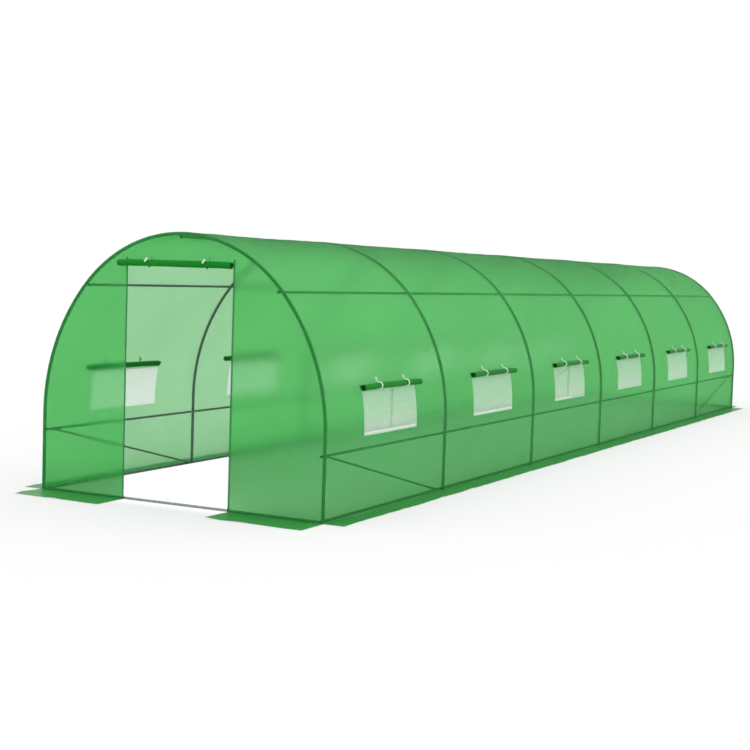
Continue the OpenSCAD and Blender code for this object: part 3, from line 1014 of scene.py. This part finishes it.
straps, knots, toggles = Build(), Build(), Build()
for tie in door_ties:
    centre = np.array(DOOR_ROLL_AT[:]) + (tie + 0.012, 0, 0)
    rows, flat = [], []
    for step, turn in enumerate(np.linspace(STRAP_FROM, STRAP_TO, 41)):
        wave = 0.0006 * math.sin(step * 1.3)
        rows.append([at_strap(centre, turn, wave + fold, aside) for aside, fold in STRAP_FOLDS])
        flat.append([(aside, STRAP_R * math.radians(STRAP_FROM - turn)) for aside, _ in STRAP_FOLDS])
    add_grid(straps, np.array(rows), measures=np.array(flat))
    knot = [at_strap(centre, *stop) for stop in KNOT_STOPS]
    add_cord(knots, knot, 12, [0, 0.3, 0.7, 1], [0.002, 0.0052, 0.0055, 0.002])
    loose_end = [at_strap(centre, *stop) for stop in LOOSE_END_STOPS]
    add_cord(knots, loose_end, 12, [0, 1], [0.0022, 0.0016])
    add_toggle(toggles, at_strap(centre, 18, 0.0065, -0.029), (0.62, 0.06, 0.80))
door_straps = straps.piece("door_tie_straps", SHADED_ROLLED_FILM, "tie_cord")
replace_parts(door_straps, "door_ties")
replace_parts(knots.piece("door_tie_knots", SHADED_ROLLED_FILM, "tie_cord"), "door_ties")
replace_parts(toggles.piece("door_tie_toggles", TOGGLE, "tie_cord"), "door_ties")


# --------------------------------------------------
# A coil zip is sewn down each side of the doorway: a woven tape, a nylon coil
# along its edge, a slider parked at the foot and its pull.

zip_low, zip_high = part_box("door_zips")
ZIP_WIDE = zip_high.x - DOOR_HALF
ZIP_Y = (zip_low.y + zip_high.y) / 2
COIL_PITCH = 0.0034
TOOTH_FACES = [[0, 1, 3, 2], [4, 6, 7, 5], [0, 4, 5, 1], [2, 3, 7, 6], [0, 2, 6, 4], [1, 5, 7, 3]]

# Each step up the slider: height, half its width and half its depth
SLIDER_STEPS = [
    (-0.006, 0.0022, 0.0018), (-0.004, 0.0038, 0.0026), (0.003, 0.0048, 0.0030), (0.006, 0.0042, 0.0026),
    (0.0075, 0.002, 0.0014),
]

# Each stop down the pull: how far aside, how far out, and height
PULL_STOPS = [(0, 0.0034, 0.001), (0, 0.0048, -0.004), (0.001, 0.0040, -0.010), (0.001, 0.0036, -0.016)]


def tape_finish(name, dark, light, pitch):
    """Woven tape: fine ribs along it, a little fading, and painted shade between the ribs."""
    material, shade = new_material(name)
    u, v = flat_place(shade)
    ribs = (u * (math.pi / pitch)).maths("SINE").maths("ABSOLUTE")
    picks = (v * (math.pi / (pitch * 0.8))).maths("SINE").maths("ABSOLUTE")
    fading = shade.node("TexCoord", out="Object").noise(9.0, 3.0, 0.6)
    height = ribs * 0.6 + picks * 0.4
    # The colour follows the weave's height as well as the fading: painted shade between the ribs and picks.
    colour = (fading * 0.6 + height * 0.3).blend(dark, light)
    shade.surface(coat(shade, colour, fading.fade(0.3, 0.7, 0.6, 0.8), height.bump(0.4, 0.0003), 0.3))
    return material


ZIP_TAPE = tape_finish("zip_tape", (0.020, 0.20, 0.040), (0.034, 0.29, 0.062), 0.0012)
ZIP_COIL = hard_finish("zip_coil", (0.015, 0.045, 0.022), (0.03, 0.075, 0.045), 0.0)
ZIP_SLIDER = hard_finish("zip_slider", (0.03, 0.045, 0.035), (0.08, 0.10, 0.09), 0.6)
tape, coil, pulls = Build(), Build(), Build()
for x_sign in (1, -1):
    across = DOOR_HALF - 0.001 + np.array([0, 0.002, 0.005, 0.009, ZIP_WIDE])
    x, z = np.meshgrid(across, np.linspace(zip_low.z, zip_high.z, 90))
    wave = 0.0004 * soft_noise(x, z, (0.05, 0.12))
    points = np.stack([x_sign * x, ZIP_Y + wave, z], -1)
    add_grid(tape, points, measures=np.stack([x, z], -1))
    for height in np.arange(zip_low.z + 0.012, zip_high.z - 0.01, COIL_PITCH):
        corners = [
            (x_sign * (DOOR_HALF + reach), ZIP_Y + depth, height + lift * (0.6 if reach < 0 else 1))
            for lift in (-0.0011, 0.0011) for reach in (-0.0040, 0.0008) for depth in (-0.0016, 0.0008)
        ]
        coil.add(corners, TOOTH_FACES)
    x, z = x_sign * (DOOR_HALF - 0.001), zip_low.z + 0.022
    pulls.add(*loft([
        ring((x, ZIP_Y - 0.0006, z + height), (wide, 0, 0), (0, deep, 0), 12)
        for height, wide, deep in SLIDER_STEPS
    ]))
    pull = [(x + x_sign * aside, ZIP_Y - out, z + height) for aside, out, height in PULL_STOPS]
    add_cord(pulls, pull, 12, [0, 0.3, 0.7, 1], [0.0008, 0.0014, 0.0022, 0.0016], 8)
tapes = thicken(tape.piece("door_zip_tapes", ZIP_TAPE, "zip_tape"), 0.0008)
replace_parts(tapes, "door_zips")
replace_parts(coil.piece("door_zip_coils", ZIP_COIL, "zip_tape", smooth=False), "door_zips")
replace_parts(pulls.piece("door_zip_pulls", ZIP_SLIDER, "zip_tape"), "door_zips")


# --------------------------------------------------
# Five flaps of the film lie flat on the ground round the foot of the cover,
# to be covered with soil. Each has a turned and sewn hem on its free edges.

# The ground flaps' film is the cover's woven film with its body painted darker: painted shade, as it lies on
# the ground with no light coming through it.
SHADED_GROUND_FILM = film_finish(
    "ground_film_painted_shade", body=(0.027, 0.232, 0.042), body_light=(0.040, 0.308, 0.058), weave_depth=0.35,
)
GROUND_FLAP_T = 0.0012


def lay_flap(name, node, corners):
    """A sheet on the ground between four corners, wavy along its free edges. Its first side is by the cover."""
    a, b, c, d = (np.array(corner, float) for corner in corners)
    long, wide = np.linalg.norm(b - a), np.linalg.norm(d - a)
    middle = np.linspace(0.05, long - 0.05, max(4, round(long / 0.045)))
    u = np.concatenate([[0, 0.006, 0.022], middle, [long - 0.022, long - 0.006, long]])
    v = np.concatenate([[0, 0.006], np.linspace(0.02, wide - 0.024, 6), [wide - 0.020, wide - 0.006, wide]])
    s, t = np.meshgrid(u / long, v / wide)
    flat = a + (b - a) * s[..., None] + (d - a) * t[..., None] + (c - b - d + a) * (s * t)[..., None]
    lift = 0.0022 * soft_noise(s * long, t * wide, (0.30, 0.35))
    lift = lift + 0.0012 * soft_noise(s * long, t * wide, (0.11, 0.2))
    lift = np.maximum(lift, 0) * np.minimum(1, t * 1.6)
    from_edges = ((1 - t) * wide, s * long, (1 - s) * long)
    hem = np.max([np.interp(inward, [0, 0.018, 0.024], [0.0012, 0.0014, 0]) for inward in from_edges], 0)
    away = (d - a) / wide
    stray = 0.0035 * soft_noise(s * long, s * 0, (0.8, 1.0)) * t ** 2
    points = np.concatenate([flat + away * stray[..., None], (0.0011 + lift + hem)[..., None]], -1)
    build = Build()
    add_grid(build, points, measures=np.stack([s * long, t * wide], -1))
    if (b - a)[0] * (d - a)[1] - (b - a)[1] * (d - a)[0] < 0:
        build.faces = [face[::-1] for face in build.faces]
    flap = thicken(build.piece(name, SHADED_GROUND_FILM, "flap_film"), GROUND_FLAP_T)
    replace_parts(flap, node)


def flap_box(node):
    low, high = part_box(node)
    return low.x, low.y, high.x, high.y


for side, x_sign in SIDES:
    x0, y0, x1, y1 = flap_box(f"ground_flap_{side}")
    inner, outer = (x0 - 0.0018, x1) if x_sign > 0 else (x1 + 0.0018, x0)
    lay_flap(f"side_flap_{side}", f"ground_flap_{side}", [(inner, y0), (inner, y1), (outer, y1), (outer, y0)])
    x0, y0, x1, y1 = flap_box(f"ground_flap_front_{side}")
    front_corners = [(x0, y1 + 0.002), (x1, y1 + 0.002), (x1, y0), (x0, y0)]
    lay_flap(f"front_flap_{side}", f"ground_flap_front_{side}", front_corners)
x0, y0, x1, y1 = flap_box("ground_flap_rear")
lay_flap("rear_flap", "ground_flap_rear", [(x0, y0 - 0.002), (x1, y0 - 0.002), (x1, y1), (x0, y1)])


# --------------------------------------------------
# Plain studio: white paper running off to the horizon, and even white light
# all round, stronger from overhead for a little shape in the folds.

SEEN_IN_FILM = 0.12


def background_seen(shade, through_film=1.0):
    """How far the background shows its own white to the camera, and in a shiny face or through the film."""
    rays = ("Is Camera Ray", "Is Glossy Ray", "Is Transmission Ray")
    camera, glossy, through = (shade.node("LightPath", out=ray) for ray in rays)
    return camera.maths("MAXIMUM", glossy.maths("MAXIMUM", through) * through_film)


def paper_finish():
    """White paper, seen lifted towards the white all round, most under the cover, where little light falls."""
    material, shade = new_material("white_ground")
    across, along, _ = (part.maths("ABSOLUTE") for part in shade.node("TexCoord", out="Object").split())
    covered = across.fade(HALF_W - 0.05, HALF_W, 1, 0) * along.fade(REAR_Y - 0.05, REAR_Y + 0.3, 1, 0)
    lifted = background_seen(shade, SEEN_IN_FILM) * covered.fade(0, 1, 0.5, 0.95)
    paper = shade.node("BsdfDiffuse", {}, {"Color": (0.68, 0.68, 0.68)})
    white = shade.node("Emission", {}, {"Color": (1.0, 1.0, 1.0), "Strength": 1.05})
    shade.surface(shade.node("MixShader", {}, {0: lifted, 1: paper, 2: white}))
    return material


GROUND_HALF = 60
ground_corners = [(x * GROUND_HALF, y * GROUND_HALF, -0.001) for x, y in ((-1, -1), (1, -1), (1, 1), (-1, 1))]
ground_mesh = bpy.data.meshes.new("ground")
ground_mesh.from_pydata(ground_corners, [], [[0, 1, 2, 3]])
ground_mesh.materials.append(paper_finish())
ground = bpy.data.objects.new("ground", ground_mesh)
scene.collection.objects.link(ground)


def even_sky():
    """White all round, with the light from overhead stronger."""
    world = bpy.data.worlds.new("white")
    world.use_nodes = True
    world.node_tree.nodes.clear()
    sky = Shade(world.node_tree)
    height = sky.node("TexCoord", out="Generated").split()[2]
    overhead = height.fade(0.0, 1.0, 0.96, 1.62)
    seen = background_seen(sky)
    light = {"Color": (1.0, 1.0, 1.0), "Strength": overhead * (1 - seen) + seen}
    sky.node("OutputWorld", {}, {"Surface": sky.node("Background", {}, light)})
    scene.world = world


even_sky()
scene.view_settings.view_transform = "Standard"
